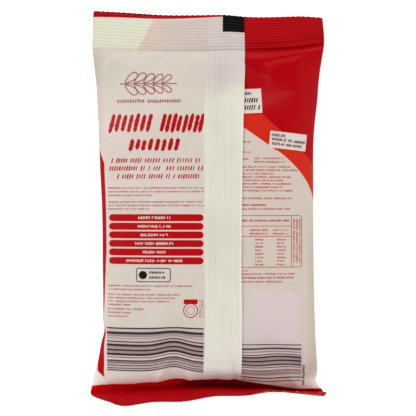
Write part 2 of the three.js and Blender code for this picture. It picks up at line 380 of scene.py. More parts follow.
def topSealSkin(skin, share, u):
    r = sealReach(share, u, tube["toothDepth"]["top"])
    part = r / tube["sealDepth"]
    y = along(tube["topRootY"], u) + r + along(tube["topEdgeWave"], u) * smooth(part)
    droop = tube["topSealDroop"] * part ** tube["droopCurve"]
    z = tube["topSealHeight"] + along(tube["topSealWave"], u) * (1 + part) - droop
    offset = tube["sealThickness"] / 2 * (1 if skin == "back" else -1)
    points = np.stack([u + along(tube["topDraw"], u) * part ** 2, y, z + offset], axis=-1)
    normals = np.zeros_like(points)
    nearRoot = 1 - smooth(r / tube["strongRibDepth"])
    calm = blend(tube["calmRibs"], 1, smooth((u - tube["calmRibEnd"]) / tube["calmRibFade"]))
    strong = smooth((u - tube["strongRibStart"]) / tube["strongRibFade"])
    normals[..., 2] = calm + tube["strongRibs"] * strong * nearRoot
    return points, normals, r


def bottomSealSkin(skin, share, u):
    r = sealReach(share, u, tube["toothDepth"]["bottom"])
    part = r / tube["sealDepth"]
    lean = np.radians(along(tube["bottomLean"], u))
    turn = smooth(r / tube["bottomSealBend"])
    bulge = tube["bottomSealBulge"] * turn * (1 - part)
    normals = np.stack([np.zeros_like(r), turn * np.cos(lean), 1 + turn * (np.sin(lean) - 1)], axis=-1)
    normals /= np.linalg.norm(normals, axis=-1, keepdims=True)
    stray = (along(tube["middleX"], tube["bottomRoot"]) + sideShift(u, tube["bottomRoot"])) * (1 - part)
    points = np.stack([
        u + along(tube["bottomCurl"], u) * part ** tube["curlCurve"] + stray,
        along(tube["bottomRootY"], u) - np.sin(lean) * r - bulge,
        tube["bottomSealHeight"] + np.cos(lean) * r,
    ], axis=-1)
    offset = tube["sealThickness"] / 2 * (1 if skin == "back" else -1)
    return points + offset * normals, normals, r


def toothShape(u):
    phase = (u / tube["toothPitch"]) % 1
    return 1 - np.abs(2 * phase - 1)


# How high the folds and the small pleats at the seals stand, on a grid of film places
def foldHeight(skin, u, y):
    height = listedFolds(folds, skin, u, y)
    draw = np.random.default_rng(pleats["seed"] + (skin == "front"))
    for root, inward in ((tube["topRoot"], -1), (tube["bottomRoot"], 1)):
        for _ in range(pleats["count"]):
            foldU = draw.uniform(-pleats["spread"], pleats["spread"])
            halfLength = draw.uniform(*pleats["halfLength"])
            halfWidth = draw.uniform(*pleats["halfWidth"])
            turn = math.radians(90 + draw.normal(0, pleats["turn"]))
            rise = draw.uniform(*pleats["height"]) * draw.choice([-1, 1])
            foldY = root + inward * (halfLength + draw.uniform(*pleats["inset"]))
            height += foldShape(u - foldU, y - foldY, turn, halfWidth, halfLength) * rise
    return height


def listedFolds(listed, skin, u, y):
    height = np.zeros(np.broadcast(u, y).shape)
    for place, foldU, foldY, turn, halfWidth, halfLength, rise in listed:
        if place == skin:
            height += foldShape(u - foldU, y - foldY, math.radians(turn), halfWidth, halfLength) * rise
    return height


# One fold: rounded across and level along, up to its ends
def foldShape(du, dy, turn, halfWidth, halfLength):
    lengthways = du * math.cos(turn) + dy * math.sin(turn)
    across = dy * math.cos(turn) - du * math.sin(turn)
    return np.exp(-(across / halfWidth) ** 2 - (lengthways / halfLength) ** 4)


# Outward directions of a grid of points whose rows are closed rings
def ringNormals(points):
    acrossRow = np.roll(points, -1, axis=1) - np.roll(points, 1, axis=1)
    alongRow = np.gradient(points, axis=0)
    normals = np.cross(acrossRow, alongRow)
    return normals / np.maximum(np.linalg.norm(normals, axis=-1, keepdims=True), 1e-9)


# The whole film as rings of points: over the back from left to right and home along the front
def filmRings():
    u = np.linspace(-tube["halfFlat"], tube["halfFlat"], tube["columns"] + 1)
    even = np.linspace(0, 1, tube["bodyRows"] + 1)
    t = blend(even, smooth(even), tube["rowCrowding"])
    share = np.linspace(0, 1, tube["sealRows"] + 1)[1:]
    halves, distances, axes = [], [], []
    for skin in ("back", "front"):
        body, y = bodySkin(skin, t, u)
        low, lowAxis, lowReach = bottomSealSkin(skin, share[::-1], u)
        top, topAxis, topReach = topSealSkin(skin, share, u)
        places = np.concatenate([tube["bottomRoot"] - lowReach, np.broadcast_to(y[:, None], body.shape[:2]),
                                 tube["topRoot"] + topReach])
        points = np.concatenate([low, body, top])
        ribs = np.maximum(topReach - along(tube["ribStart"], u), 0)
        distance = np.concatenate([lowReach, np.zeros(body.shape[:2]), ribs])
        axis = np.concatenate([lowAxis, np.zeros(body.shape), topAxis])
        turn = slice(None) if skin == "back" else slice(None, None, -1)
        halves.append((points[:, turn], places[:, turn], u[turn]))
        distances.append(distance[:, turn])
        axes.append(axis[:, turn])
    rings = np.concatenate([half[0] for half in halves], axis=1)
    normals = ringNormals(rings)
    columns = tube["columns"] + 1
    bodyStart, bodyEnd = tube["sealRows"], tube["sealRows"] + len(t)
    for index, skin in enumerate(("back", "front")):
        part = slice(index * columns, (index + 1) * columns)
        _, places, across = halves[index]
        y = places[bodyStart:bodyEnd]
        nearEdge = smooth((tube["halfFlat"] - np.abs(across)) / tube["foldSideFade"])
        fromSeal = np.minimum(tube["topRoot"] - y, y - tube["bottomRoot"])
        free = nearEdge * smooth(fromSeal / tube["foldSealFade"])
        height = foldHeight(skin, across[None, :], y) * free
        rings[bodyStart:bodyEnd, part] += normals[bodyStart:bodyEnd, part] * height[..., None]
        rings[:, part, 2] += listedFolds(sealFolds, "seal", across[None, :], places)
    rings[..., 0] += tube["acrossShift"]
    rings[..., 1] += tube["alongShift"]
    rings[..., 2] = np.maximum(rings[..., 2], 0)
    maps = [np.stack([np.broadcast_to(across, places.shape), places], axis=-1)
            for _, places, across in halves]
    return rings, np.concatenate(distances, axis=1), np.concatenate(axes, axis=1), maps


# A closed mesh from rings that all have the same number of points
def ringMesh(name, rings, mapU, mapV, attributes):
    rows, count = rings.shape[:2]
    mesh = bpy.data.meshes.new(name)
    row, column = np.meshgrid(np.arange(rows - 1), np.arange(count), indexing="ij")
    following = (column + 1) % count
    quads = np.stack([row * count + column, row * count + following,
                      (row + 1) * count + following, (row + 1) * count + column], axis=-1).reshape(-1, 4)
    half = count // 2
    i = np.arange(half - 1)
    lowCap = np.stack([i, count - 1 - i, count - 2 - i, i + 1], axis=-1)
    topCap = (rows - 1) * count + lowCap[:, [0, 3, 2, 1]]
    faces = np.concatenate([quads, lowCap, topCap])
    mesh.from_pydata((rings * millimetre).reshape(-1, 3).tolist(), [], faces.tolist())
    for title, kind, values in attributes:
        key = "value" if kind == "FLOAT" else "vector"
        mesh.attributes.new(title, kind, "POINT").data.foreach_set(key, values.astype(np.float32).ravel())
    layer = mesh.uv_layers.new(name="film_map")
    u, v = mapU.reshape(-1)[faces], mapV.reshape(-1)[faces]
    # the side that closes the ring keeps the map of the front, and the cut edges that of the back
    closing = u[:len(quads)].reshape(rows - 1, count, 4)[:, -1]
    closing[:, 1], closing[:, 2] = mapU[:-1, -1], mapU[1:, -1]
    u[len(quads):len(quads) + half - 1, 1:3] = u[len(quads):len(quads) + half - 1][:, [0, 3]]
    u[len(quads) + half - 1:, 2:] = u[len(quads) + half - 1:][:, [1, 0]]
    layer.data.foreach_set("uv", np.stack([u, v], axis=-1).astype(np.float32).ravel())
    mesh.shade_smooth()
    return mesh


# Runs a Geometry Nodes tree on an object and keeps the plain mesh that it makes
def applyTree(obj, tree, values):
    modifier = obj.modifiers.new(tree.name, "NODES")
    modifier.node_group = tree
    sockets = {item.name: item.identifier for item in tree.interface.items_tree if item.in_out == "INPUT"}
    for name, value in values.items():
        modifier[sockets[name]] = value
    depsgraph = bpy.context.evaluated_depsgraph_get()
    depsgraph.update()
    result = bpy.data.meshes.new_from_object(
        obj.evaluated_get(depsgraph), preserve_all_data_layers=True, depsgraph=depsgraph)
    obj.modifiers.remove(modifier)
    spare = obj.data
    obj.data = result
    bpy.data.meshes.remove(spare)
    result.name = obj.name


# A tree with named inputs, and the sockets that carry them
def newTree(name, sockets):
    tree = bpy.data.node_groups.new(name, "GeometryNodeTree")
    tree.interface.new_socket("Geometry", in_out="INPUT", socket_type="NodeSocketGeometry")
    for title, kind in sockets:
        tree.interface.new_socket(title, in_out="INPUT", socket_type=kind)
    tree.interface.new_socket("Geometry", in_out="OUTPUT", socket_type="NodeSocketGeometry")
    return tree, addNode(tree, "NodeGroupInput").outputs


# Ends a tree: instances become real, and every face gets the one material
def endTree(tree, geometry, material):
    real = addNode(tree, "GeometryNodeRealizeInstances", {"Geometry": geometry})
    painted = addNode(tree, "GeometryNodeSetMaterial", {"Geometry": real, "Material": material})
    smoothed = addNode(tree, "GeometryNodeSetShadeSmooth", {"Geometry": painted})
    addNode(tree, "NodeGroupOutput", {"Geometry": smoothed})


# Presses ribs into a skin: they repeat along the distance that each point carries
def makeCrimpTree():
    tree, given = newTree("crimp_ribs", [
        ("Pitch", "NodeSocketFloat"), ("Height", "NodeSocketFloat"), ("Material", "NodeSocketMaterial")])
    distance = addNode(tree, "GeometryNodeInputNamedAttribute", {"Name": "crimp_distance"}, data_type="FLOAT")
    axis = addNode(tree, "GeometryNodeInputNamedAttribute", {"Name": "crimp_axis"}, data_type="FLOAT_VECTOR")
    turns = addNode(tree, "ShaderNodeMath", {0: distance, 1: given["Pitch"]}, operation="DIVIDE")
    angle = addNode(tree, "ShaderNodeMath", {0: turns, 1: 2 * math.pi}, operation="MULTIPLY")
    wave = addNode(tree, "ShaderNodeMath", {0: angle}, operation="COSINE")
    height = addNode(tree, "ShaderNodeMath", {0: 1.0, 1: wave}, operation="SUBTRACT")
    start = addNode(tree, "ShaderNodeMath", {0: turns, 1: 1.0}, operation="MINIMUM")
    for factor in (start, given["Height"], 0.5):
        height = addNode(tree, "ShaderNodeMath", {0: height, 1: factor}, operation="MULTIPLY")
    offset = addNode(tree, "ShaderNodeVectorMath", {0: axis, "Scale": height}, operation="SCALE")
    pressed = addNode(tree, "GeometryNodeSetPosition", {"Geometry": given["Geometry"], "Offset": offset})
    endTree(tree, pressed, given["Material"])
    return tree


# Materials

filmLook = {
    # the back's paper tones, with painted shade at its sides and painted light near the bottom seal, its
    # fields of red and orange, and the band at the bottom
    "paper": "#d1c4ba", "paperGreen": "#cdc5b8", "paperPink": "#cdc0b3", "paperRose": "#d7c7c1",
    "paperEdgeShade": "#c4b6aa", "rightEdgeShade": "#b6a899", "paperLowPaintedLight": "#f6ece4", "box": "#d1c2c0",
    "sealGreen": "#d6d5c1", "sealWarm": "#cbbdb4", "sealRose": "#d2beb1",
    "red": "#aa030c", "redDeep": "#a80208", "redShade": "#8a0410", "orange": "#c82815",
    # the band's brighter red is painted light on its left, its dark red is painted shade in the valley before
    # the seal, and the pale specks are painted glints on the cut edge
    "bandPaintedLight": "#f0050a", "bandPaintedShade": "#7c0104", "cutEdgePaintedGlints": "#cc6d66",
    # the fin, with painted shade of its fine ribs in lines, painted light over its lower part and foot, and a
    # painted highlight along its free edge
    "finPaper": "#dad7c6", "finShade": "#d4d1c0", "finLowPaintedLight": "#e0dfd2", "finFootPaintedLight": "#f8f6ee",
    "finPink": "#cfc4c0", "finSeal": "#cdc2bd", "finRibShade": "#bfb2b0", "finEdgeHighlight": "#ebe2db",
    # print
    "ink": "#211817", "stripeInk": "#3f2f2f", "stripeTone": "#9c8785", "wash": "#bfafad",
    "eyeMark": "#0b0c0b", "brown": "#96614f", "palePrint": "#d8cbc2",
    "pill": "#ae0c13", "fineRed": "#b4605a", "tableRed": "#bd4c45",
    "roughness": 0.31,
    "ior": 1.49,                 # of polypropylene
    "shine": 0.08,               # of the film's clear skin, as a share of full specular
    "lentilSize": 3.4,           # of the lentils that press into the film from inside
    "lentilRelief": 0.10,
    "filmRipple": 9.0,           # size of the film's slow ripple
    "filmRippleHeight": 0.13,
    "finFilled": 0.35,           # how much of both shows through the fin
    "edgeSoftness": 0.18,        # of the boundary between two printed colours
}


# 1 past a line on the film and 0 before it: the line faces (du, dv), this far from the map's origin
def pastLine(tree, place, du, dv, distance, softness):
    reach = addNode(tree, "ShaderNodeVectorMath", {0: place, 1: (du, dv, 0)}, operation="DOT_PRODUCT")
    mask = addNode(tree, "ShaderNodeMapRange", {
        "Value": reach.outputs["Value"], "From Min": distance - softness, "From Max": distance + softness})
    return mask.outputs[0]


# 1 inside an ellipse on the film
def insideRound(tree, place, centre, radii, softness):
    offset = addNode(tree, "ShaderNodeVectorMath", {0: place, 1: (*centre, 0)}, operation="SUBTRACT")
    scaled = addNode(tree, "ShaderNodeVectorMath", {0: offset, 1: (*radii, 1)}, operation="DIVIDE")
    reach = addNode(tree, "ShaderNodeVectorMath", {0: scaled}, operation="LENGTH")
    edge = softness / min(radii)
    mask = addNode(tree, "ShaderNodeMapRange", {
        "Value": reach.outputs["Value"], "From Min": 1 + edge, "From Max": 1 - edge})
    return mask.outputs[0]


# Soft patches at random: 1 where the noise is past high, and 0 where it is under low
def patches(tree, place, size, detail, low, high):
    noise = addNode(tree, "ShaderNodeTexNoise", {"Vector": place, "Scale": 1 / size, "Detail": detail})
    mask = addNode(tree, "ShaderNodeMapRange", {"Value": noise, "From Min": low, "From Max": high})
    return mask.outputs[0]


# The mask of a field of colour. Each of its sides is a line, as pastLine takes it, or a mask.
def fieldMask(tree, place, joining, *sides):
    masks = [pastLine(tree, place, *side) if isinstance(side, tuple) else side for side in sides]
    mask = masks[0]
    for other in masks[1:]:
        mask = addNode(tree, "ShaderNodeMath", {0: mask, 1: other}, operation=joining).outputs[0]
    return mask


# Prints fields over one another, each with its colour, how its sides join, and its sides
def printFields(tree, place, colour, fields):
    for tone, joining, *sides in fields:
        mask = fieldMask(tree, place, joining, *sides)
        above = linear(filmLook[tone]) if isinstance(tone, str) else tone
        colour = addNode(tree, "ShaderNodeMix", {0: mask, 6: colour, 7: above}, data_type="RGBA").outputs[2]
    return colour


# Bumps that the film and all that is printed on it share: the slow ripple of thin film and, over
# the filled part, the lentils that show through it. Both follow the object's own coordinates.
# Filled is how far they show, as a number or a mask.
def filmBump(tree, filled):
    place = addNode(tree, "ShaderNodeTexCoord").outputs["Object"]
    ripple = addNode(tree, "ShaderNodeTexNoise", {
        "Vector": place, "Scale": 1 / (filmLook["filmRipple"] * millimetre), "Detail": 1.0, "Roughness": 0.4})
    lentils = addNode(tree, "ShaderNodeTexVoronoi", {
        "Vector": place, "Scale": 1 / (filmLook["lentilSize"] * millimetre), "Smoothness": 0.6},
        feature="SMOOTH_F1")
    slow = addNode(tree, "ShaderNodeBump", {
        "Height": ripple, "Distance": filmLook["filmRippleHeight"] * millimetre, "Strength": filled})
    return addNode(tree, "ShaderNodeBump", {
        "Height": lentils.outputs["Distance"], "Distance": filmLook["lentilRelief"] * millimetre,
        "Strength": filled, "Normal": slow}, invert=True).outputs[0]


def newMaterial(name):
    material = bpy.data.materials.new(name)
    material.use_nodes = True
    return material, material.node_tree, material.node_tree.nodes["Principled BSDF"]


def finishPlastic(tree, shader, colour, filled):
    if isinstance(colour, bpy.types.NodeSocket):
        tree.links.new(colour, shader.inputs["Base Color"])
    else:
        shader.inputs["Base Color"].default_value = linear(colour)
    shader.inputs["Roughness"].default_value = filmLook["roughness"]
    shader.inputs["IOR"].default_value = filmLook["ior"]
    shader.inputs["Specular IOR Level"].default_value = filmLook["shine"]
    tree.links.new(filmBump(tree, filled), shader.inputs["Normal"])


# Polypropylene film, printed on its inner side: the colours lie under a clear skin, which gives
# the eye a soft satin shine over flat fields of ink
def makeFilmMaterial():
    material, tree, shader = newMaterial("reverse_printed_polypropylene")
    place = addNode(tree, "ShaderNodeUVMap", uv_map="film_map").outputs[0]
    soft = filmLook["edgeSoftness"]

    # the pale back, warmer or greyer here and there, darkened at its sides by painted shade and brightened
    # near the bottom seal by painted light
    right = pastLine(tree, place, 1, 0, 22, 4)
    colour = printFields(tree, place, linear(filmLook["paperGreen"]), [
        ("paper", "MINIMUM", patches(tree, place, 55, 1.0, 0.35, 0.65)),
        ("paperRose", "MINIMUM", patches(tree, place, 26, 2.0, 0.48, 0.7)),
        # painted shade along the upper left side, where the film turns away
        ("paperEdgeShade", "MULTIPLY", (-1, 0, 61.5, 3), (0, 1, 34, 6)),
        ("paperPink", "MINIMUM", right),
        ("box", "MINIMUM", right, (-1, 0, -51.0, soft), (0, -1, 45.2, soft), (0, 1, -72.6, soft)),
        # painted shade along the lower right side, where the film turns away
        ("rightEdgeShade", "MULTIPLY", (1, 0, 61, 5), (0, -1, 8, 12)),
        ("box", "MULTIPLY", right, (0, -1, 74, 5), (-1, 0, -55, 3)),
        # painted light near the bottom seal, lifting the film where the standing seal shades it
        ("paperLowPaintedLight", "MINIMUM", (0, -1, 91, 5)),
    ])

    # the top seal, where the front's print shows through, and a red strip at its edge whose darker patches
    # are painted shade of creases
    warm = pastLine(tree, place, 0.894, -0.447, -75.3, 0.5)
    seal = printFields(tree, place, linear(filmLook["sealGreen"]), [
        ("sealWarm", "MINIMUM", warm),
        ("sealRose", "MINIMUM", warm, (-1, 0, 27.0, 0.6)),
    ])
    creaseShadeNoise = addNode(tree, "ShaderNodeVectorMath", {0: place, 1: (0.09, 0.9, 0)}, operation="MULTIPLY")
    topStrip = printFields(tree, place, linear(filmLook["red"]), [
        ("redShade", "MINIMUM", patches(tree, creaseShadeNoise, 1.0, 1.0, 0.45, 0.65))])
    colour = printFields(tree, place, colour, [
        (seal, "MINIMUM", (0, 1, 88.8, 0.6)),
        ("palePrint", "MINIMUM", (-0.032, 1, 107.7, soft)),
        (topStrip, "MINIMUM", (-0.032, 1, 108.4, soft)),
    ])

    # right of the fin, a red field over an orange one that ends in a slant and a round
    rightSide = pastLine(tree, place, 1, 0, 12, 0.1)
    outsideRound = addNode(tree, "ShaderNodeMath", {
        0: 1.0, 1: insideRound(tree, place, (-4.3, -31.3), (77, 77), soft)}, operation="SUBTRACT").outputs[0]
    slantPart = fieldMask(tree, place, "MINIMUM", (-1, 0, -39.6, 0.02), (0.572, 0.821, 48.55, soft))
    roundPart = fieldMask(tree, place, "MINIMUM", (1, 0, 39.6, 0.02), outsideRound, (0, 1, -12, 0.1))
    redPart = fieldMask(tree, place, "MAXIMUM", (0, 1, 52.0, soft), (0.666, 0.746, 59.8, soft))
    colour = printFields(tree, place, colour, [
        ("orange", "MINIMUM", rightSide, fieldMask(tree, place, "MAXIMUM", slantPart, roundPart)),
        ("red", "MINIMUM", rightSide, redPart),
    ])

    # the red band at the bottom, whose edge dips on the right; its left is brightened by painted light, the
    # valley before its seal darkened by painted shade, and its cut edge on the right carries painted glints
    dip = fieldMask(tree, place, "MULTIPLY", (1, 0, 26, 8), (-1, 0, -58, 6))
    depth = addNode(tree, "ShaderNodeMath", {0: dip, 1: 1.6}, operation="MULTIPLY")
    offset = addNode(tree, "ShaderNodeCombineXYZ", {"Y": depth})
    lowered = addNode(tree, "ShaderNodeVectorMath", {0: place, 1: offset}, operation="ADD")
    band = pastLine(tree, lowered, 0, -1, 97.4, soft)
    colour = printFields(tree, place, colour, [
        ("redDeep", "MINIMUM", band),
        # painted light: a brighter red on the left, where the valley before the seal is in shade
        ("bandPaintedLight", "MINIMUM", (0, -1, 97.6, soft), (0, 1, -101.6, 0.8), (-1, 0, 18, 10)),
        # painted shade: a darker red in the deepest part of the valley before the seal
        ("bandPaintedShade", "MULTIPLY", band, insideRound(tree, place, (14, -101), (24, 6), 4)),
        # painted glints: pale specks along the toothed cut edge on the right
        ("cutEdgePaintedGlints", "MINIMUM", patches(tree, place, 1.8, 0.0, 0.56, 0.62), (0, -1, 121.8, 0.15),
         (1, 0, 28, 3)),
    ])

    # the front and its edge, which comes round to the back on the left
    front = printFields(tree, place, linear(filmLook["red"]), [
        ("orange", "MINIMUM", insideRound(tree, place, (84, -58), (46, 60), soft)),
        ("sealGreen", "MINIMUM", insideRound(tree, place, (196, 84), (52, 46), soft)),
    ])
    upperStrip = fieldMask(tree, place, "MINIMUM", (-1, 0, 59.4, soft), (0, 1, -55, 3),
                           (-0.871, -0.491, 39.4, soft), (-0.9954, 0.0958, 56.9, soft))
    lowerStrip = fieldMask(tree, place, "MINIMUM", (-0.9916, -0.131, 70.1, soft), (0, -1, 66, 2),
                           (0.625, 0.781, -109.3, soft), (0.963, 0.272, -85.2, soft))
    between = fieldMask(tree, place, "MINIMUM", (-1, 0, 63.9, soft), (0, -1, 50, 2), (0, 1, -74, 2))
    colour = printFields(tree, place, colour, [
        (front, "MINIMUM", (1, 0, 65.6, 0.2)),
        ("red", "MAXIMUM", upperStrip, lowerStrip, between),
    ])
    filled = fieldMask(tree, place, "MINIMUM", (0, -1, -85, 3), (0, 1, -97, 3))
    finishPlastic(tree, shader, colour, filled)
    return material


# Ink printed on the same film, seen under the same shine
def makeInk(name, colour):
    material, tree, shader = newMaterial(name)
    finishPlastic(tree, shader, colour, 1.0)
    return material


# spacing and height of the ribs that the hot jaws leave in the seals and, finer, in the fin
crimp = {"sealPitch": 1.85, "sealHeight": 0.4, "finPitch": 1.2, "finHeight": 0.3}
crimpTree = makeCrimpTree()
filmMaterial = makeFilmMaterial()


def makeFilm():
    rings, distance, axis, (backMap, frontMap) = filmRings()
    mapU = np.concatenate([backMap[..., 0], 2 * tube["halfFlat"] - frontMap[..., 0]], axis=1)
    mapV = np.concatenate([backMap[..., 1], frontMap[..., 1]], axis=1)
    mesh = ringMesh("film", rings, mapU, mapV, [
        ("crimp_distance", "FLOAT", distance), ("crimp_axis", "FLOAT_VECTOR", axis)])
    film = newObject("film", mesh)
    applyTree(film, crimpTree, {
        "Pitch": crimp["sealPitch"], "Height": crimp["sealHeight"] * millimetre, "Material": filmMaterial})
    return film, backMap


film, backMap = makeFilm()
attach(film, "root")
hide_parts("bag")
print("film made:", len(film.data.polygons), "faces")


# The fin of the back seam: two layers of film, folded flat to the right

fin = {
    "left": [(-121, -0.4), (-97, -0.5), (-52, -0.7), (4, -0.4), (60, 0.1), (80, 1.1), (88, 1.3), (100, 1.1),
             (109, 0.9)],
    "right": [(-121, 20.4), (-97, 20.5), (-78, 18.9), (-45, 18.4), (-11, 18.7), (23, 19.7), (50, 20.9),
              (70, 21.2), (94, 20.6), (109, 20.3)],
    "thickness": 0.34,
    "pressedThickness": 0.16,    # in the seals, where the jaws flatten it
    "openLength": 12.0,          # length over which it opens from a seal
    "roll": 1.8,                 # width of the soft fold along its left edge
    "tuck": 0.06,                # how deep that fold starts in the back
    "underGap": (0.04, 0.03),    # its underside is this far below its top, and below its lift
    "columns": 88,
    "lift": 1.0,                 # how far its free edge stands off the back
    "leastLift": 0.35,           # the share of it that is never lost
    "liftWidth": 6.5,
    "liftCurve": 1.5,
    "liftWaves": [(31.0, 0.5), (67.0, 0.35), (17.0, 0.15)],   # length and share of each wave
    "ribsFrom": 46.0,            # the jaws that close the fin leave ribs, clearest above here
    "faintRibs": 0.33,
    "ribsTo": 11.0,              # and left of here
    # they fade over these lengths to the top seal, the bottom one, its sides, and where faint
    "ribFades": (3.0, 8.0, 2.0, 3.0),
}


# Two layers of the same film, unprinted but for what shows through: duller, with painted shade of its fine
# ribs in lines, painted light over its lower part and foot, and a painted highlight along its free edge
def makeFinMaterial():
    material, tree, shader = newMaterial("folded_polypropylene_seam")
    place = addNode(tree, "ShaderNodeUVMap", uv_map="film_map").outputs[0]
    soft = filmLook["edgeSoftness"]
    tint = addNode(tree, "ShaderNodeTexNoise", {"Vector": place, "Scale": 1 / 30, "Detail": 2.0})
    worn = addNode(tree, "ShaderNodeMapRange", {"Value": tint, "From Min": 0.4, "From Max": 0.65})
    # the upper part shows the print below it, and its lower edge wanders
    drift = addNode(tree, "ShaderNodeVectorMath", {0: tint.outputs["Color"], 1: (0, 40, 0)},
                    operation="MULTIPLY")
    wandering = addNode(tree, "ShaderNodeVectorMath", {0: place, 1: drift}, operation="ADD")
    pink = pastLine(tree, wandering, -0.6, 0.8, 65, 5)
    # painted shade of its fine ribs runs down it in lines, clearest in the upper left
    streaks = addNode(tree, "ShaderNodeVectorMath", {0: place, 1: (0.85, 0.012, 0)}, operation="MULTIPLY")
    clear = addNode(tree, "ShaderNodeMapRange", {
        "Value": fieldMask(tree, place, "MULTIPLY", pink, (-1, 0, -13, 3)), "To Min": 0.22})
    # a painted highlight along the fin's free edge, from how near each point is to it
    toEdge = addNode(tree, "ShaderNodeAttribute", attribute_name="edge_distance").outputs["Fac"]
    pale = addNode(tree, "ShaderNodeMapRange", {"Value": toEdge, "From Min": 1.1, "From Max": 0.4})
    band = pastLine(tree, place, 0, -1, 97.3, soft)
    colour = printFields(tree, place, linear(filmLook["finPaper"]), [
        ("finShade", "MINIMUM", worn.outputs[0]),
        ("finPink", "MINIMUM", pink),
        ("finRibShade", "MULTIPLY", patches(tree, streaks, 1.0, 1.0, 0.5, 0.7), clear.outputs[0]),
        # painted light over the lower part and the foot, where the fin lies in shade
        ("finLowPaintedLight", "MINIMUM", (0, -1, 66, 28)),
        ("finFootPaintedLight", "MINIMUM", (0, -1, 91, 5)),
        ("finSeal", "MINIMUM", (0, 1, 88.8, 0.6)),
        ("red", "MINIMUM", (-0.032, 1, 108.4, soft)),
        ("redDeep", "MINIMUM", band),
        # painted shade in the valley before the bottom seal, as on the film
        ("bandPaintedShade", "MULTIPLY", band, insideRound(tree, place, (14, -101), (24, 6), 4)),
        # painted highlight along the free edge
        ("finEdgeHighlight", "MULTIPLY", pale.outputs[0], (0, 1, -96, 1), (0, -1, -60, 10)),
        ("eyeMark", "MINIMUM", (1, 0, 8.1, soft), (0, 1, 99.7, soft)),   # which a packing machine reads
    ])
    finishPlastic(tree, shader, colour, filmLook["finFilled"])
    return material


finMaterial = makeFinMaterial()


def makeFin():
    rows, columns = backMap.shape[:2]
    points = np.array([vertex.co for vertex in film.data.vertices]).reshape(rows, -1, 3) / millimetre
    normals = ringNormals(points)[:, :columns]
    points = points[:, :columns]
    across, places = backMap[0, :, 0], backMap[..., 1]
    share = np.sin(np.linspace(0, math.pi / 2, fin["columns"] + 1))
    share = blend(np.linspace(0, 1, fin["columns"] + 1), share, 0.5)
    middle = places[:, columns // 2]
    left, right = along(fin["left"], middle), along(fin["right"], middle)
    u = left[:, None] - fin["roll"] + (right - left + fin["roll"])[:, None] * share
    ground = np.empty(u.shape + (3,))
    upward = np.empty_like(ground)
    v = np.empty_like(u)
    for row in range(rows):
        v[row] = np.interp(u[row], across, places[row])
        for axis in range(3):
            ground[row, :, axis] = np.interp(u[row], across, points[row, :, axis])
            upward[row, :, axis] = np.interp(u[row], across, normals[row, :, axis])
    upward /= np.linalg.norm(upward, axis=-1, keepdims=True)
    fromTop, fromBottom = tube["topRoot"] - middle, middle - tube["bottomRoot"]
    opened = smooth(fromTop / fin["openLength"]) * smooth(fromBottom / fin["openLength"])
    waves = sum(size * (0.5 + 0.5 * np.sin(2 * np.pi * middle / length + length))
                for length, size in fin["liftWaves"])
    waves = blend(fin["leastLift"], 1, waves)
    fromLeft, toEdge = u - left[:, None], right[:, None] - u
    free = smooth((u - right[:, None] + fin["liftWidth"]) / fin["liftWidth"]) ** fin["liftCurve"]
    lift = (fin["lift"] * waves * opened)[:, None] * free
    rise = smooth((fromLeft + fin["roll"]) / fin["roll"])
    pressed = blend(fin["pressedThickness"], fin["thickness"], opened)[:, None]
    top = -fin["tuck"] + (pressed + fin["tuck"]) * rise + lift
    belowTop, belowLift = fin["underGap"]
    under = np.minimum(top - belowTop, lift - belowLift)
    ribs = np.where(middle > fin["ribsFrom"], 1.0, fin["faintRibs"])
    topFade, bottomFade, sideFade, faintFade = fin["ribFades"]
    ribs = ribs * smooth(fromTop / topFade) * smooth(fromBottom / bottomFade)
    amount = ribs[:, None] * smooth(fromLeft / sideFade) * smooth(toEdge / sideFade)
    amount = amount * blend(1, fin["faintRibs"], smooth((u - fin["ribsTo"]) / faintFade))

    # round the fin's section: over its top and back along its underside
    def ring(over, below):
        return np.concatenate([over, below[:, ::-1]], axis=1)

    axis = upward * amount[..., None]
    rings = ring(ground + upward * top[..., None], ground + upward * under[..., None])
    mesh = ringMesh("fin", rings, ring(u, u), ring(v, v), [
        ("crimp_distance", "FLOAT", np.maximum(ring(fromLeft, fromLeft), 0)),
        ("crimp_axis", "FLOAT_VECTOR", ring(axis, axis)),
        ("edge_distance", "FLOAT", ring(toEdge, toEdge))])
    piece = newObject("fin", mesh)
    applyTree(piece, crimpTree, {
        "Pitch": crimp["finPitch"], "Height": crimp["finHeight"] * millimetre, "Material": finMaterial})
    return piece


finPiece = makeFin()
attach(finPiece, "root")
print("fin made:", len(finPiece.data.polygons), "faces")


# Print. Its marks are plain shapes drawn flat, as seen from above, and laid on the film.

ink = {
    "dropFrom": 100.0,           # the height that the marks are dropped from
    "lift": 0.05,                # how far a mark stands off the film, so that it shows
    "overLift": 0.10,            # the same for a mark on another one
    "step": 0.8,                 # the finest spacing of a mark's points
    "slant": 0.26,               # of the words made of dabs, in radians
    "middle": (0.0, 0.43),       # the marks' places are given from here, as a distant camera sees them
    "nearness": 0.995,           # which is how much nearer to this point they truly lie
}


# Points as the picture shows them, at their true places on the table, in metres
def onBag(places):
    shift = np.array([tube["acrossShift"], tube["alongShift"]])
    flat = (np.array(places) - ink["middle"]) * ink["nearness"] + shift
    return (np.column_stack([flat, np.zeros(len(flat))]) * millimetre).tolist()


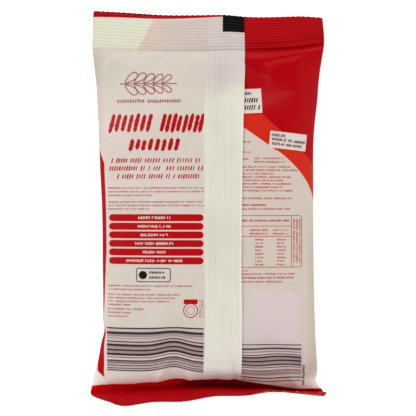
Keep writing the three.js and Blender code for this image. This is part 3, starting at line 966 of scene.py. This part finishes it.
# Drops every point straight down onto the film and lifts it a little off its surface
def layNodes(tree, film, lift, geometry):
    target = addNode(tree, "GeometryNodeObjectInfo", {"Object": film}, transform_space="RELATIVE")
    place = addNode(tree, "GeometryNodeInputPosition")
    height = ink["dropFrom"] * millimetre
    above = addNode(tree, "ShaderNodeVectorMath", {0: place, 1: (0, 0, height)}, operation="ADD")
    ray = addNode(tree, "GeometryNodeRaycast", {
        "Target Geometry": target.outputs["Geometry"], "Source Position": above, "Ray Length": 2 * height})
    offset = addNode(tree, "ShaderNodeVectorMath", {
        0: ray.outputs["Hit Normal"], "Scale": lift}, operation="SCALE")
    return addNode(tree, "GeometryNodeSetPosition", {
        "Geometry": geometry, "Position": ray.outputs["Hit Position"], "Offset": offset})


layInputs = [("Film", "NodeSocketObject"), ("Lift", "NodeSocketFloat"), ("Material", "NodeSocketMaterial")]


def makeLayTree():
    tree, given = newTree("lay_on_film", layInputs)
    endTree(tree, layNodes(tree, given["Film"], given["Lift"], given["Geometry"]), given["Material"])
    return tree


words = {
    # least and most width and height of the upright strokes, as shares of the pitch and of the
    # words' height, with a seed for each
    "strokeWidth": (0.42, 0.66, 11),
    "strokeHeight": (0.72, 1.0, 12),
    "leftOut": 0.08,             # share of the upright strokes that are left out
    "levelReach": 0.42,          # how far from the middle the level strokes lie, as a share
    "levelThickness": 0.17,
    "levelLift": 1.2,            # they lie this much higher, so that they don't meet the others
    "strokes": (3, 15),          # least strokes in a word, and one more than the most
    "space": 2.2,                # between two words, in strokes
}


# Along each edge of the given mesh runs a row of short upright strokes, and level ones at random
# heights between them, unless the words are plain
def makeWordTree():
    tree, given = newTree("printed_words", layInputs + [
        ("Pitch", "NodeSocketFloat"), ("Height", "NodeSocketFloat"), ("Slant", "NodeSocketFloat"),
        ("Plain", "NodeSocketBool"), ("Seed", "NodeSocketInt")])
    curve = addNode(tree, "GeometryNodeMeshToCurve", {"Mesh": given["Geometry"]})
    spots = addNode(tree, "GeometryNodeCurveToPoints", {
        "Curve": curve, "Length": given["Pitch"]}, mode="LENGTH")
    turn = addNode(tree, "FunctionNodeAlignRotationToVector", {"Vector": spots.outputs["Tangent"]}, axis="X")
    stroke = addNode(tree, "GeometryNodeMeshGrid", {
        "Size X": 1.0, "Size Y": 1.0, "Vertices X": 2, "Vertices Y": 2})

    gap = addNode(tree, "FunctionNodeRandomValue", {
        "Probability": words["leftOut"], "Seed": given["Seed"]}, data_type="BOOLEAN").outputs[3]
    sizes = []
    for name, whole in (("strokeWidth", given["Pitch"]), ("strokeHeight", given["Height"])):
        low, high, seed = words[name]
        share = addNode(tree, "FunctionNodeRandomValue", {2: low, 3: high, "Seed": seed}, data_type="FLOAT")
        sizes.append(addNode(tree, "ShaderNodeMath", {0: share.outputs[1], 1: whole}, operation="MULTIPLY"))
    size = addNode(tree, "ShaderNodeCombineXYZ", {"X": sizes[0], "Y": sizes[1], "Z": 1.0})
    tilt = addNode(tree, "FunctionNodeAxisAngleToRotation", {"Axis": (0, 0, -1), "Angle": given["Slant"]})
    slanted = addNode(tree, "FunctionNodeRotateRotation", {0: turn, 1: tilt})
    upright = addNode(tree, "GeometryNodeInstanceOnPoints", {
        "Points": spots, "Instance": stroke, "Rotation": slanted, "Scale": size})
    upright = addNode(tree, "GeometryNodeDeleteGeometry", {
        "Geometry": upright, "Selection": gap}, domain="INSTANCE")

    reach = words["levelReach"]
    rise = addNode(tree, "FunctionNodeRandomValue", {
        2: -reach, 3: reach, "Seed": given["Seed"]}, data_type="FLOAT").outputs[1]
    rise = addNode(tree, "ShaderNodeMath", {0: rise, 1: given["Height"]}, operation="MULTIPLY")
    up = addNode(tree, "ShaderNodeCombineXYZ", {"Y": rise})
    up = addNode(tree, "FunctionNodeRotateVector", {"Vector": up, "Rotation": turn})
    raised = addNode(tree, "GeometryNodeSetPosition", {"Geometry": spots, "Offset": up})
    thickness = addNode(tree, "ShaderNodeMath", {
        0: given["Height"], 1: words["levelThickness"]}, operation="MULTIPLY")
    size = addNode(tree, "ShaderNodeCombineXYZ", {"X": given["Pitch"], "Y": thickness, "Z": 1.0})
    flat = addNode(tree, "GeometryNodeInstanceOnPoints", {
        "Points": raised, "Instance": stroke, "Rotation": turn, "Scale": size})
    flat = addNode(tree, "GeometryNodeDeleteGeometry", {
        "Geometry": flat, "Selection": given["Plain"]}, domain="INSTANCE")

    higher = addNode(tree, "ShaderNodeMath", {
        0: given["Lift"], 1: words["levelLift"]}, operation="MULTIPLY")
    both = addNode(tree, "GeometryNodeJoinGeometry")
    for strokes, lift in ((upright, given["Lift"]), (flat, higher)):
        real = addNode(tree, "GeometryNodeRealizeInstances", {"Geometry": strokes})
        laid = layNodes(tree, given["Film"], lift, real)
        tree.links.new(laid.outputs[0], both.inputs[0])
    endTree(tree, both, given["Material"])
    return tree


layTree, wordTree = makeLayTree(), makeWordTree()
# each ink's material, its colour in the film's look, and its slot
inkKinds = {
    "red": ("red_gravure_ink", "pill", "red_print"),
    "fineRed": ("fine_red_gravure_ink", "fineRed", "red_print"),
    "tableRed": ("fine_scarlet_gravure_ink", "tableRed", "red_print"),
    "dark": ("black_gravure_ink", "ink", "dark_print"),
    "stripe": ("soft_black_gravure_ink", "stripeInk", "dark_print"),
    "tone": ("grey_brown_gravure_ink", "stripeTone", "dark_print"),
    "brown": ("brown_gravure_ink", "brown", "brown_print"),
    "pale": ("pale_gravure_ink", "palePrint", "pale_print"),
    "wash": ("thin_black_gravure_ink", "wash", "dark_print"),
}
inks = {name: makeInk(title, filmLook[colour]) for name, (title, colour, _) in inkKinds.items()}


def keep(piece):
    piece.data.name = piece.name
    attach(piece, "root")


def line(x0, y0, x1, y1):
    count = max(2, int(math.hypot(x1 - x0, y1 - y0) / ink["step"]) + 1)
    share = np.linspace(0, 1, count)[:, None]
    return np.array([x0, y0]) * (1 - share) + np.array([x1, y1]) * share


# Part of a circle, from one angle to another in degrees
def arc(x, y, radius, start, end):
    count = max(9, int(radius * math.radians(abs(end - start)) / (ink["step"] * 0.6)))
    angle = np.radians(np.linspace(start, end, count))
    return np.stack([x + radius * np.cos(angle), y + radius * np.sin(angle)], axis=-1)


# A flat strip of quads along a path, as (points, faces)
def strip(path, halfWidth):
    tangent = np.gradient(path, axis=0)
    tangent /= np.linalg.norm(tangent, axis=1, keepdims=True)
    side = np.stack([-tangent[:, 1], tangent[:, 0]], axis=-1)
    halfWidth = np.broadcast_to(halfWidth, len(path))
    across = max(2, int(2 * halfWidth.max() / ink["step"]) + 2)
    offset = np.linspace(-1, 1, across)[None, :, None] * halfWidth[:, None, None]
    points = path[:, None] + side[:, None] * offset
    row, column = np.meshgrid(np.arange(len(path) - 1), np.arange(across - 1), indexing="ij")
    corner = row * across + column
    faces = np.stack([corner, corner + across, corner + across + 1, corner + 1], axis=-1)
    return points.reshape(-1, 2), faces.reshape(-1, 4)


def bar(x0, x1, y, height):
    return strip(line(x0, y, x1, y), height / 2)


def pill(x0, x1, y, height):
    radius = height / 2
    path = line(x0, y, x1, y)
    ends = x0 + radius * (1 - np.cos(np.linspace(0, math.pi / 2, 7)))
    straight = path[(path[:, 0] > ends[-1] + 0.3) & (path[:, 0] < x0 + x1 - ends[-1] - 0.3), 0]
    x = np.concatenate([ends, straight, (x0 + x1 - ends)[::-1]])
    away = np.clip(np.maximum(x0 + radius - x, x - x1 + radius), 0, radius)
    halfWidth = np.sqrt(np.maximum(radius ** 2 - away ** 2, 0.0025))
    return strip(np.stack([x, np.full_like(x, y)], axis=-1), halfWidth)


# The outline of a box with rounded corners
def frameMarks(x0, x1, y0, y1, radius, width):
    corners = [(x1 - radius, y1 - radius, 0), (x0 + radius, y1 - radius, 90),
               (x0 + radius, y0 + radius, 180), (x1 - radius, y0 + radius, 270)]
    path = np.concatenate([arc(x, y, radius, turn, turn + 90) for x, y, turn in corners])
    path = np.concatenate([path, path[:1]])
    sides = [line(*path[i], *path[i + 1])[:-1] for i in range(len(path) - 1)]
    overrun = path[:1] + [[0.01, 0.4]]   # runs on a little past its start, so that it closes
    return [strip(np.concatenate(sides + [path[:1], overrun]), width / 2)]


# One piece from marks drawn flat, each as (points, faces)
def layMarks(name, marks, inkName, lift=None):
    points, faces, start = [], [], 0
    for markPoints, markFaces in marks:
        points.append(markPoints)
        faces.append(markFaces + start)
        start += len(markPoints)
    mesh = bpy.data.meshes.new(name)
    mesh.from_pydata(onBag(np.concatenate(points)), [], np.concatenate(faces).tolist())
    piece = newObject(name, mesh)
    applyTree(piece, layTree, {
        "Film": film, "Lift": (lift or ink["lift"]) * millimetre, "Material": inks[inkName]})
    keep(piece)


# Parts each line (x0, y0, x1, y1) into words of different lengths, and gives the ends of each
def wordEnds(lines, pitch, seed):
    draw = np.random.default_rng(seed)
    ends = []
    for x0, y0, x1, y1 in lines:
        length = math.hypot(x1 - x0, y1 - y0)
        start = 0.0
        while start < length - pitch:
            end = min(length, start + pitch * draw.integers(*words["strokes"]))
            ends += [(blend(x0, x1, at / length), blend(y0, y1, at / length)) for at in (start, end)]
            start = end + pitch * words["space"]
    return ends


def layWords(name, lines, pitch, height, inkName, seed, lift=None, slant=0.0):
    ends = wordEnds(lines, pitch, seed)
    mesh = bpy.data.meshes.new(name)
    mesh.from_pydata(onBag(ends), [(i, i + 1) for i in range(0, len(ends), 2)], [])
    piece = newObject(name, mesh)
    applyTree(piece, wordTree, {
        "Film": film, "Lift": (lift or ink["lift"]) * millimetre, "Material": inks[inkName],
        "Pitch": pitch * millimetre, "Height": height * millimetre, "Slant": slant, "Plain": slant > 0,
        "Seed": seed})
    keep(piece)


# The lines of blocks of small print, each the left end of its lines, the right end of each, the
# height of the first and their spacing
def blockLines(blocks):
    return [(left, top - n * spacing, right, top - n * spacing)
            for left, rights, top, spacing in blocks for n, right in enumerate(rights)]


# The left panel

leftPanel = {
    # how far the strokes of each kind of words are apart, and how high they stand
    "sizes": {"claims": (0.75, 1.6), "tagline": (1.25, 2.9), "small": (0.55, 1.0), "badge": (1.3, 2.1),
              "origin": (0.7, 1.5)},
    "sprig": {"x": (-50.0, -17.5), "y": 70.6, "leaf": 8.6, "shrink": 0.06, "pairs": 5, "turn": 38,
              "pen": 0.62},
    "badgeWords": [(-50.8, 60.6, -16.0, 60.6)],
    # dabs: how much their feet, heads, bend and sides vary, how they taper, and for each row
    # its left, right, foot, head and count
    "title": {"slant": 0.24, "thickness": 2.2, "steps": 15, "seed": 3, "feet": 1.3, "heads": 1.5,
              "bend": 0.25, "roughness": 0.1, "taper": 3.2, "leastWidth": 0.25,
              "words": [(-56.6, -30.6, 42.4, 53.8, 7), (-27.6, -1.2, 42.4, 53.8, 8),
                        (-45.0, -15.6, 32.0, 39.8, 8)]},
    "tagline": [(-53.9, 27.0, -3.4, 27.0), (-55.0, 22.6, -3.4, 22.6), (-50.5, 18.1, -5.4, 18.1)],
    "claims": {"x": (-55.7, -2.6), "top": -5.0, "pitch": 4.8, "height": 3.9,
               "words": [17.4, 17.9, 14.6, 20.7, 12.3, 30.8], "middle": -30.1},
    "smallPrint": [(-56.1, [-2.4, -2.4, -30.9], 11.6, 2.05), (-56.1, [-2.4, -2.4, -32.6], 3.8, 1.95),
                   (-56.1, [-9.1, -32.6], -43.1, 2.0), (-56.1, [-16.3, -18.6, -21.4, -43.8], -48.0, 1.9),
                   (-56.1, [-36.5, -41.6, -45.5], -56.1, 2.05)],
    "uprightPrint": [(-4.5, -51, -4.5, -60.4), (-3.1, -51, -3.1, -60.4)],
    "originBox": (-39.9, -21.1, -40.7, -33.2, 1.1, 0.45),   # with its corners' radius and its line
    "originDisc": (-38.7, -34.1, -37.0, 4.6),
    "originWords": [(-32.6, -35.6, -23.0, -35.6), (-32.6, -38.3, -24.0, -38.3)],
    # x and y of two rings, with the radius and half width of each line, and the bar above them
    "roundel": {"x": -9.8, "y": -56.7, "rings": [(3.9, 0.25), (2.2, 0.12)], "bar": (-13.6, -5.9, -51.8, 2.6)},
}


# A row of slanted brush dabs of different heights
def dabs(x0, x1, y0, y1, count, draw):
    title = leftPanel["title"]
    marks = []
    lean = (y1 - y0) * title["slant"]
    share = np.linspace(0, 1, title["steps"])
    for x in np.linspace(x0 + 1, x1 - lean - 1, count):
        low, high = y0 + draw.uniform(0, title["feet"]), y1 - draw.uniform(0, title["heads"])
        y = blend(low, high, share)
        bend = draw.uniform(-title["bend"], title["bend"]) * np.sin(share * math.pi)
        rough = 1 + title["roughness"] * draw.standard_normal(title["steps"])
        ends = np.clip(np.sin(share * math.pi) * title["taper"], title["leastWidth"], 1)
        width = title["thickness"] / 2 * rough * ends
        marks.append(strip(np.stack([x + (y - y0) * title["slant"] + bend, y], axis=-1), width))
    return marks


# The outline of a pointed leaf that starts at (x, y) and turns up from level by degrees
def leafOutline(x, y, length, turn):
    angle = np.linspace(0, 2 * math.pi, 33)[1:-1]
    halfWidth = 0.2 * np.sin(angle) * (1 - 0.5 * np.cos(angle))
    outline = np.stack([(1 - np.cos(angle)) / 2, halfWidth], axis=-1) * length
    turn = math.radians(turn)
    turned = outline @ np.array([[math.cos(turn), math.sin(turn)], [-math.sin(turn), math.cos(turn)]])
    return turned + [x, y]


def makeLeftPanel():
    claims, sizes = leftPanel["claims"], leftPanel["sizes"]
    heights = [claims["top"] - n * claims["pitch"] for n in range(len(claims["words"]))]
    layMarks("claim_bars", [pill(*claims["x"], y, claims["height"]) for y in heights], "red")
    claimLines = [(claims["middle"] - width / 2, y, claims["middle"] + width / 2, y)
                  for y, width in zip(heights, claims["words"])]
    layWords("claim_words", claimLines, *sizes["claims"], "pale", 1, ink["overLift"])
    draw = np.random.default_rng(leftPanel["title"]["seed"])
    title = [mark for word in leftPanel["title"]["words"] for mark in dabs(*word, draw)]
    layMarks("title_dabs", title, "red")
    layWords("tagline", leftPanel["tagline"], *sizes["tagline"], "red", 2, slant=ink["slant"])
    fine = blockLines(leftPanel["smallPrint"]) + leftPanel["uprightPrint"]
    layWords("left_small_print", fine, *sizes["small"], "fineRed", 3)

    # a leafy sprig over a line of words
    sprig = leftPanel["sprig"]
    (start, end), y, pen = sprig["x"], sprig["y"], sprig["pen"]
    badge = [bar(start, end, y, pen)]
    for n, x in enumerate(np.linspace(start + 3, end - sprig["leaf"], sprig["pairs"])):
        size = sprig["leaf"] * (1 - sprig["shrink"] * n)
        badge += [strip(leafOutline(x, y + side * pen, size, side * sprig["turn"]), pen / 2)
                  for side in (1, -1)]
    layMarks("badge", badge, "brown")
    layWords("badge_words", leftPanel["badgeWords"], *sizes["badge"], "brown", 4)

    layMarks("origin_box", frameMarks(*leftPanel["originBox"]) + [pill(*leftPanel["originDisc"])], "dark")
    layWords("origin_words", leftPanel["originWords"], *sizes["origin"], "dark", 5)
    roundel = leftPanel["roundel"]
    marks = [bar(*roundel["bar"])]
    marks += [strip(arc(roundel["x"], roundel["y"], radius, 0, 368), pen) for radius, pen in roundel["rings"]]
    layMarks("roundel", marks, "red")


makeLeftPanel()
print("left panel printed")


# The right panel, which runs under the fin

besideFin = 17.5   # where most of its lines start
rightPanel = {
    "sizes": {"label": (1.25, 3.1), "times": (0.7, 1.75), "small": (0.55, 1.1), "bold": (0.62, 1.2)},
    # the middle line and half height of each label
    "labels": [((12.0, 60.0, 30.1, 60.85), 7.0), ((34.4, 39.1, 55.1, 36.9), 4.7)],
    "labelWords": [(20.9, 60.9, 27.4, 61.1), (18.4, 56.7, 28.6, 57.0)],
    "timeWords": [(19.6, 64.8, 24.0, 65.0), (35.8, 41.5, 43.2, 40.7), (35.9, 39.1, 54.0, 37.1),
                  (36.0, 36.6, 52.6, 34.8)],
    "smallPrint": [(besideFin, [23.4], 37.4, 2), (besideFin, [23.4, 22.6], 31.6, 3.9),
                   (25.8, [41.9, 44.1], 28.2, 2.0),
                   (besideFin, [45.8, 50.3, 36.3, 47.5, 42.4, 47.5, 41.3, 46.9], 23.4, 1.9),
                   (besideFin, [46.4], 5.8, 2), (besideFin, [45.8], -0.1, 2),
                   (besideFin, [21.7, 48.0], -34.6, 1.8), (besideFin, [41.3], -40.7, 2)],
    "boldPrint": [(besideFin, [32.4], 2.1, 2), (besideFin, [47.6], -38.5, 2), (besideFin, [45.2], -6.6, 2)],
    "table": {"x": (14.0, 52.5), "y": (-32.6, -3.8), "corner": 1.4, "ruleWidth": 0.36,
              "uprightRule": 46.6, "levelRules": (-9.7, -15.4),
              # the ends of each column's words and figures, and where the rows are
              "headings": [(23.4, 33.0), (36.3, 44.6)], "headingRows": [-11.9, -13.9],
              "figures": [(26.4, 30.4), (38.6, 43.0)], "rows": [-17.2 - n * 2.0 for n in range(8)],
              "uprightWords": (48.0, 49.7, 51.3), "uprightEnds": (-6.0, -30.5)},
}


def makeRightPanel():
    sizes, table = rightPanel["sizes"], rightPanel["table"]
    layMarks("labels", [strip(line(*path), halfHeight) for path, halfHeight in rightPanel["labels"]], "pale")
    layWords("label_words", rightPanel["labelWords"], *sizes["label"], "dark", 6, ink["overLift"],
             ink["slant"])
    layWords("time_words", rightPanel["timeWords"], *sizes["times"], "dark", 7, ink["overLift"])
    fine = blockLines(rightPanel["smallPrint"])
    for rows, columns in (("headingRows", "headings"), ("rows", "figures")):
        fine += [(start, y, end, y) for y in table[rows] for start, end in table[columns]]
    top, foot = table["uprightEnds"]
    fine += [(x, top, x, foot) for x in table["uprightWords"]]
    layWords("right_small_print", fine, *sizes["small"], "tableRed", 8)
    layWords("right_bold_print", blockLines(rightPanel["boldPrint"]), *sizes["bold"], "red", 9)
    (left, right), (low, high), width = table["x"], table["y"], table["ruleWidth"]
    marks = frameMarks(left, right, low, high, table["corner"], width)
    marks += [bar(left, table["uprightRule"], y, width) for y in table["levelRules"]]
    marks.append(strip(line(table["uprightRule"], low, table["uprightRule"], high), width / 2))
    layMarks("table_rules", marks, "tableRed")


makeRightPanel()
print("right panel printed")


# Printed stripes in two columns, and a line of words beside them

stripes = {
    # place along the bag and height of each, from the top
    "left": [(-67.0, 0.7), (-69.8, 1.4), (-75.0, 0.6), (-77.0, 1.3), (-79.7, 1.0), (-82.2, 1.3),
             (-83.9, 0.4), (-85.8, 0.7), (-87.1, 0.35), (-88.5, 0.45), (-90.1, 0.35), (-91.4, 0.55)],
    "right": [(-76.1, 0.5), (-78.4, 0.85), (-81.8, 0.5), (-83.2, 0.95), (-85.4, 0.9), (-87.6, 0.8),
              (-89.1, 0.4), (-95.1, 0.55), (-97.0, 0.4)],
    "leftTones": [(-71.3, 1.2), (-72.9, 0.5), (-78.2, 1.2), (-80.8, 1.3), (-86.5, 0.7)],
    "rightTones": [(-80.2, 0.6), (-84.3, 0.9), (-86.4, 0.8), (-91.0, 1.0), (-92.6, 0.7)],
    "leftWashes": [(-69.9, 4.6), (-78.2, 9.0), (-88.2, 5.6)],
    "rightWashes": [(-78.9, 3.6), (-85.9, 5.4), (-92.0, 3.4)],
    # each layer's piece, ink, two lists and lift
    "layers": [("stripe_washes", "wash", "leftWashes", "rightWashes", 0.05),
               ("stripe_tones", "tone", "leftTones", "rightTones", 0.08),
               ("stripes", "stripe", "left", "right", 0.11)],
    "leftX": (-57.0, -2.6),
    "rightX": (15.0, 52.5),
    "edgeWords": [(53.8, -88.6, 53.8, -99.8)],
    "edgeSize": (0.6, 1.6),
    "crest": -19.5,              # the print rides up over the ridge in the film here
    "crestWidth": 9.5,
    "crestHeight": 2.7,
    "leastCrest": 0.2,           # the share of it that the first stripes have
    "crestGrowth": (-66.0, 11.0),   # where the crest starts to grow, and over what length
    "leftFall": (0.02, -30.0),   # slope to the right, and where a stripe is at its own place
    "ripple": (0.5, 18.0, 5.2, 9.0),   # height, start, and lengths across and along
    "rippleGrowth": (-74.0, 8.0),
    "rightFall": (0.012, 20.0),
}


# A stripe that follows the film's waves
def wavyBar(x0, x1, y, height, rise):
    path = line(x0, y, x1, y)
    path[:, 1] += rise(path[:, 0], y)
    return strip(path, height / 2)


def leftRise(x, y):
    (start, length), (slope, level) = stripes["crestGrowth"], stripes["leftFall"]
    grown = smooth((start - y) / length)
    ridge = np.exp(-((x - stripes["crest"]) / stripes["crestWidth"]) ** 2)
    crest = stripes["crestHeight"] * blend(stripes["leastCrest"], 1, grown) * ridge
    return crest - slope * (x - level) * grown


def rightRise(x, y):
    (start, length), (slope, level) = stripes["rippleGrowth"], stripes["rightFall"]
    height, first, across, lengthways = stripes["ripple"]
    ripple = height * np.sin((x - first) / across + y / lengthways)
    return ripple * smooth((start - y) / length) - slope * (x - level)


def makeStripes():
    for name, inkName, left, right, lift in stripes["layers"]:
        marks = [wavyBar(*stripes["leftX"], y, height, leftRise) for y, height in stripes[left]]
        marks += [wavyBar(*stripes["rightX"], y, height, rightRise) for y, height in stripes[right]]
        layMarks(name, marks, inkName, lift)
    layWords("edge_words", stripes["edgeWords"], *stripes["edgeSize"], "dark", 10)


makeStripes()
print("stripes printed")
